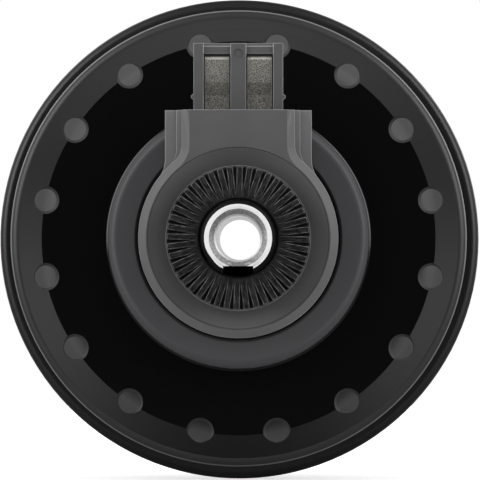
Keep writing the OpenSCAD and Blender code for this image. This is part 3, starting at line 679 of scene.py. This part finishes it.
# The teeth are turned a little from the vertical, as the photograph has them
TOOTH_TURN = math.radians(-2.8)
# The cone that trims the hexagon's corners starts this far down, and takes this much off them
HEX_TRIM_DEPTH = 0.5
HEX_TRIM = 0.7
HEX_POINTS = 96
# The nuts' finishes, and their numbers in the tooth_part attribute
NUT_FINISHES = {"Top": nut_top, "Edge": nut_edge_highlight, "Groove": nut_black}
TOP, EDGE, GROOVE = range(3)


def tooth_mesh():
    """One tooth pitch of the nut's flange: the face with a groove in its middle, the rim and the back."""
    half = math.pi / NUT_TEETH
    rows = []
    for step in range(GROOVE_STEPS + 1):
        r = GROOVE_START + (NUT_RADIUS - GROOVE_START) * step / GROOVE_STEPS
        share = (r - GROOVE_START) / (NUT_RADIUS - GROOVE_START)
        edge = TOOTH_EDGE * min(1.0, share * 3)
        wall = share * GROOVE_WIDTH / 2
        deep = share * GROOVE_DEPTH + edge / 2
        across = [(-half * r, 0.0), (-wall - edge, 0.0), (-wall, edge), (0.0, deep), (wall, edge),
            (wall + edge, 0.0), (half * r, 0.0)]
        rows.append([(x / r, y, r) for x, y in across])
    # The rim's edge is rounded off, then the wall runs down to the flange's back and in to the bore
    rim = rows[-1]
    low = [(a, max(y, TOOTH_EDGE) + TOOTH_EDGE, NUT_RADIUS) for a, y, r in rim]
    rows[-1] = [(a, y, NUT_RADIUS - TOOTH_EDGE) for a, y, r in rim]
    rows += [low, [(a, NUT_FLANGE - TOOTH_EDGE, NUT_RADIUS) for a, y, r in rim],
        [(a, NUT_FLANGE, NUT_RADIUS - TOOTH_EDGE) for a, y, r in rim],
        [(a, NUT_FLANGE, NUT_BORE) for a, y, r in rim],
        [(a, NUT_MOUTH, NUT_BORE) for a, y, r in rim],
        [(a, 0.0, NUT_BORE + NUT_MOUTH) for a, y, r in rim]]
    rows.append(rows[0])
    bm = bmesh.new()
    grid = [[bm.verts.new((r * math.sin(a + TOOTH_TURN) * MM, y * MM, r * math.cos(a + TOOTH_TURN) * MM))
        for a, y, r in row] for row in rows]
    part = bm.faces.layers.int.new("tooth_part")
    for k, (upper, lower) in enumerate(zip(grid, grid[1:])):
        for i in range(len(upper) - 1):
            face = bm.faces.new((upper[i], lower[i], lower[i + 1], upper[i + 1]))
            if k < GROOVE_STEPS:
                face[part] = (TOP, EDGE, GROOVE, GROOVE, EDGE, TOP)[i]
            else:
                face[part] = EDGE if k == GROOVE_STEPS and i not in (2, 3) else GROOVE
    bmesh.ops.remove_doubles(bm, verts=bm.verts, dist=0.0005 * MM)
    mesh = bpy.data.meshes.new("tooth")
    bm.to_mesh(mesh)
    bm.free()
    return mesh


def hexagon_mesh():
    """The nut's hexagon with its corners trimmed by a cone, as a nut's are, and its bore."""
    corner = NUT_FLATS / math.sqrt(3)
    angles = [2 * math.pi * i / HEX_POINTS for i in range(HEX_POINTS)]
    rings = []
    for y, trim in ((NUT_FLANGE, 0.0), (NUT_THICK - HEX_TRIM_DEPTH, 0.0), (NUT_THICK, HEX_TRIM)):
        ring = []
        for a in angles:
            flat = (a + math.pi / 6) % (math.pi / 3) - math.pi / 6
            ring.append((min(NUT_FLATS / 2 / math.cos(flat), corner - trim), y, a))
        rings.append(ring)
    rings += [[(NUT_BORE, y, a) for a in angles] for y in (NUT_THICK, NUT_FLANGE)]
    bm = bmesh.new()
    grid = [[bm.verts.new((r * math.sin(a) * MM, y * MM, r * math.cos(a) * MM)) for r, y, a in ring]
        for ring in rings]
    for upper, lower in zip(grid, grid[1:] + grid[:1]):
        for i in range(HEX_POINTS):
            j = (i + 1) % HEX_POINTS
            bm.faces.new((upper[i], lower[i], lower[j], upper[j]))
    mesh = bpy.data.meshes.new("hexagon")
    bm.to_mesh(mesh)
    bm.free()
    return mesh


def make_nuts():
    """Both lock nuts: the serrated flange and the hexagon on it, each facing its own end of the axle."""
    flange = through_tree(tooth_mesh(), serrated_face_tree(), {"Teeth": NUT_TEETH, **NUT_FINISHES})
    for node, face_y, turn in (("lock_nut_right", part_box("lock_nut_right")[0].y, 0.0),
            ("lock_nut_left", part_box("lock_nut_left")[1].y, math.pi)):
        bm = bmesh.new()
        bm.from_mesh(flange)
        part = bm.faces.layers.int["tooth_part"]
        for face in bm.faces:
            face.material_index = face[part]
        flange_faces = len(bm.faces)
        bm.from_mesh(hexagon_mesh())
        bm.faces.ensure_lookup_table()
        for face in bm.faces[flange_faces:]:
            face.material_index = GROOVE
        bmesh.ops.recalc_face_normals(bm, faces=bm.faces)
        place = Matrix.Translation((0, face_y, 0)) @ Matrix.Rotation(turn, 4, "Z")
        bmesh.ops.transform(bm, matrix=place, verts=bm.verts)
        mesh = bpy.data.meshes.new(node + "_form")
        bm.to_mesh(mesh)
        bm.free()
        mesh.shade_smooth()
        mesh.set_sharp_from_angle(angle=SHARP_THREAD)
        new_piece("serrated_" + node, mesh, NUT_FINISHES, node)


make_nuts()


def axle_thread_tree():
    """Cuts a helical V groove round each end of the axle."""
    tree, given = new_geometry_tree("axle_thread", {"Pitch": "Float", "Depth": "Float", "Crest": "Float",
        "Turns": "Float", "End": "Float", "Material": "Material"})
    rise = add(tree, "ShaderNodeMath", {0: given["Pitch"], 1: given["Turns"]}, operation="MULTIPLY")
    helix = add(tree, "GeometryNodeCurveSpiral", {"Resolution": 64, "Rotations": given["Turns"],
        "Start Radius": given["Crest"], "End Radius": given["Crest"], "Height": rise})
    upright = add(tree, "GeometryNodeSetCurveNormal", {0: helix}, mode="Z_UP")
    wedge = add(tree, "GeometryNodeCurvePrimitiveCircle", {"Resolution": 3, "Radius": given["Depth"]})
    groove = add(tree, "GeometryNodeCurveToMesh", {"Curve": upright, "Profile Curve": wedge,
        "Fill Caps": True})
    down = add(tree, "ShaderNodeMath", {0: given["End"], 1: -1.0}, operation="MULTIPLY")
    right = add(tree, "GeometryNodeTransform", {0: groove, "Rotation": (-math.pi / 2, 0, 0),
        "Translation": add(tree, "ShaderNodeCombineXYZ", {1: down})})
    left = add(tree, "GeometryNodeTransform", {0: groove, "Rotation": (math.pi / 2, 0, 0),
        "Translation": add(tree, "ShaderNodeCombineXYZ", {1: given["End"]})})
    cut = add(tree, "GeometryNodeMeshBoolean", {"Mesh 1": given["Mesh"]}, operation="DIFFERENCE",
        solver="EXACT")
    tree.links.new(right.outputs[0], cut.inputs["Mesh 2"])
    tree.links.new(left.outputs[0], cut.inputs["Mesh 2"])
    done = add(tree, "GeometryNodeSetMaterial", {0: cut, "Material": given["Material"]})
    add(tree, "NodeGroupOutput", {0: done})
    return tree


# The thread at the axle's ends, in millimetres and turns. It starts just outside the end and runs inwards
THREAD_PITCH = 1.0
THREAD_DEPTH = 0.45
THREAD_CREST = 4.3
THREAD_TURNS = 4.6
THREAD_START = 0.6
# How far from the axle's line its bore and its countersink reach
BORE = 2.61
COUNTERSINK = 3.41
AXLE_FINISHES = {"thread": thread_black, "bore": bore_steel, "countersink": countersink_steel(),
    "end": faced_steel()}


def axle_finish(reach, at_end):
    """The axle's finishes, by how far from its line a face reaches and whether it is an end face."""
    if reach < BORE:
        return "bore"
    if at_end:
        return "end"
    return "countersink" if reach < COUNTERSINK else "thread"


def make_axle():
    """The hollow axle with its thread cut, blackened outside and bright where it was turned afterwards."""
    axle_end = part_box("axle")[1].y
    mesh = through_tree(node_mesh("axle"), axle_thread_tree(), {"Pitch": THREAD_PITCH * MM,
        "Depth": THREAD_DEPTH * MM, "Crest": THREAD_CREST * MM, "Turns": THREAD_TURNS,
        "End": axle_end + THREAD_START * MM, "Material": thread_black})
    mesh.materials.clear()
    numbers = numbered(AXLE_FINISHES)
    for face in mesh.polygons:
        corners = [mesh.vertices[i].co for i in face.vertices]
        reach = max(math.hypot(c.x, c.z) / MM for c in corners)
        at_end = all(abs(c.y) > axle_end - 0.01 * MM for c in corners)
        face.material_index = numbers[axle_finish(reach, at_end)]
    mesh.shade_smooth()
    mesh.set_sharp_from_angle(angle=SHARP_THREAD)
    new_piece("threaded_axle", mesh, AXLE_FINISHES, "axle")


make_axle()


# Camera: the photograph looks along the axle at the connector end, from a hair right of and below it

CAMERA_DISTANCE = 900 * MM
CAMERA_RIGHT = 2.1 * MM
CAMERA_BELOW = 2.1 * MM
CAMERA_LENS = 583
PHOTO_SIZE = 480
# Where the axle's near end lies in the photograph, in its pixels
AXLE_IN_PHOTO = (238.07, 237.93)


def make_camera():
    """A long lens about as far away as the photographer stood, with the axle's end where the photo has it."""
    axle_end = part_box("axle")[0].y
    data = bpy.data.cameras.new("camera")
    data.lens = CAMERA_LENS
    data.sensor_width = 36
    data.clip_start = 0.05
    data.clip_end = 50
    camera = bpy.data.objects.new("camera", data)
    bpy.context.scene.collection.objects.link(camera)
    camera.location = (CAMERA_RIGHT, axle_end - CAMERA_DISTANCE, -CAMERA_BELOW)
    pixel = CAMERA_DISTANCE * data.sensor_width / data.lens / PHOTO_SIZE
    aim = Vector(((PHOTO_SIZE / 2 - AXLE_IN_PHOTO[0]) * pixel, axle_end,
        (AXLE_IN_PHOTO[1] - PHOTO_SIZE / 2) * pixel))
    camera.rotation_mode = "QUATERNION"
    camera.rotation_quaternion = (aim - camera.location).to_track_quat("-Z", "Y")
    bpy.context.scene.camera = camera


make_camera()


# Studio: a white floor and world, dark behind the camera, and a tall soft box at each side


# Half the floor's width, in metres
FLOOR_REACH = 0.5


def make_floor():
    """White paper under the hub. In reflections it is painted dimmer, with painted shade darkest just below
    the lens, in front of the hub.
    """
    lowest = cad_bounds[0].z - 0.1 * MM
    mesh = bpy.data.meshes.new("floor")
    corners = [(x * FLOOR_REACH, y * FLOOR_REACH, lowest) for x, y in ((-1, -1), (1, -1), (1, 1), (-1, 1))]
    mesh.from_pydata(corners, [], [(0, 1, 2, 3)])
    floor = bpy.data.objects.new("floor", mesh)
    bpy.context.scene.collection.objects.link(floor)
    mat, tree = new_material("white_studio_floor")
    path = add(tree, "ShaderNodeLightPath")
    glossy = path.outputs["Is Glossy Ray"]
    point = add(tree, "ShaderNodeSeparateXYZ", {0: add(tree, "ShaderNodeTexCoord").outputs["Object"]})
    near_lens = add(tree, "ShaderNodeMapRange", {"Value": point.outputs["Y"], "From Min": -0.14,
        "From Max": -0.08, "To Min": 1.0, "To Max": 0.0})
    shade = add(tree, "ShaderNodeMath", {0: glossy, 1: near_lens}, operation="MULTIPLY")
    shaded = add(tree, "ShaderNodeMix", {"Factor": shade, COLOUR_A: "#e2e2e2", COLOUR_B: "#303030"},
        data_type="RGBA")
    dimmer = add(tree, "ShaderNodeMix", {"Factor": glossy, COLOUR_A: "#ffffff", COLOUR_B: "#909090"},
        data_type="RGBA")
    paper = add(tree, "ShaderNodeMix", {"Factor": 1.0, COLOUR_A: shaded, COLOUR_B: dimmer},
        data_type="RGBA", blend_type="MULTIPLY")
    diffuse = add(tree, "ShaderNodeBsdfDiffuse", {"Color": paper})
    shine = add(tree, "ShaderNodeMath", {0: path.outputs["Is Camera Ray"], 1: 0.6}, operation="MULTIPLY")
    glow = add(tree, "ShaderNodeEmission", {"Color": "#ffffff", "Strength": shine})
    both = add(tree, "ShaderNodeAddShader", {0: diffuse, 1: glow})
    add(tree, "ShaderNodeOutputMaterial", {"Surface": both})
    mesh.materials.append(mat)


def make_world():
    """White for the camera. In reflections the room is dark behind the camera and round the middle plane,
    so that the polished black stays black, and open to the sides and straight behind the hub."""
    world = bpy.data.worlds.new("studio")
    world.use_nodes = True
    tree = world.node_tree
    tree.nodes.clear()
    path = add(tree, "ShaderNodeLightPath")
    seen = add(tree, "ShaderNodeMath", {0: path.outputs["Is Camera Ray"],
        1: path.outputs["Is Transmission Ray"]}, operation="ADD", use_clamp=True)
    direction = add(tree, "ShaderNodeSeparateXYZ", {0: add(tree, "ShaderNodeTexCoord").outputs["Generated"]})
    away = add(tree, "ShaderNodeMapRange", {"Value": direction.outputs["Y"], "From Min": -0.75,
        "From Max": -0.2, "To Min": 0.04, "To Max": 0.65})
    aside = add(tree, "ShaderNodeMath", {0: direction.outputs["X"]}, operation="ABSOLUTE")
    walls = add(tree, "ShaderNodeMapRange", {"Value": aside, "From Min": 0.15, "From Max": 0.6,
        "To Min": 0.12, "To Max": 1.0})
    behind = add(tree, "ShaderNodeMapRange", {"Value": direction.outputs["Y"], "From Min": 0.6,
        "From Max": 0.9})
    open_sides = add(tree, "ShaderNodeMath", {0: walls, 1: behind}, operation="MAXIMUM")
    room = add(tree, "ShaderNodeMath", {0: away, 1: open_sides}, operation="MULTIPLY")
    glossy = add(tree, "ShaderNodeMath", {0: path.outputs["Is Glossy Ray"], 1: room}, operation="MULTIPLY")
    fill = add(tree, "ShaderNodeMath", {0: path.outputs["Is Diffuse Ray"], 1: 0.35}, operation="MULTIPLY")
    lit = add(tree, "ShaderNodeMath", {0: glossy, 1: fill}, operation="MAXIMUM")
    back = add(tree, "ShaderNodeBackground", {"Color": "#ffffff",
        "Strength": add(tree, "ShaderNodeMath", {0: lit, 1: seen}, operation="MAXIMUM")})
    add(tree, "ShaderNodeOutputWorld", {"Surface": back})
    bpy.context.scene.world = world


# The lamps: place and size in metres, watts, and whether they show in reflections. The paper overhead and
# round the lens lights the matt pieces, and is too dim to show in the polished ones
LAMPS = {
    "soft_box_left": ((-1.25, -0.85, 0.4), (1.0, 1.8), 18, True),
    "soft_box_right": ((1.25, -0.85, 0.4), (1.0, 1.8), 17, True),
    "top_paper": ((0, -0.55, 1.6), (1.4, 0.9), 14, False),
    "lens_paper": ((0, -2.2, 0.1), (1.2, 1.2), 9, False),
    "back_box_left": ((-0.8, 1.6, 0.9), (1.0, 1.4), 3, True),
    "back_box_right": ((0.9, 1.6, 0.6), (1.0, 1.4), 3, True),
}
LAMPS_AIM = Vector((0, -0.02, 0))


def make_lamps():
    """Rectangles of soft light that face the hub. The camera does not see them."""
    for name, (place, (width, height), watts, reflected) in LAMPS.items():
        data = bpy.data.lights.new(name, "AREA")
        data.shape = "RECTANGLE"
        data.size = width
        data.size_y = height
        data.energy = watts
        lamp = bpy.data.objects.new(name, data)
        bpy.context.scene.collection.objects.link(lamp)
        lamp.location = place
        lamp.rotation_mode = "QUATERNION"
        lamp.rotation_quaternion = (LAMPS_AIM - Vector(place)).to_track_quat("-Z", "Y")
        lamp.visible_camera = False
        lamp.visible_glossy = reflected


make_floor()
make_world()
make_lamps()
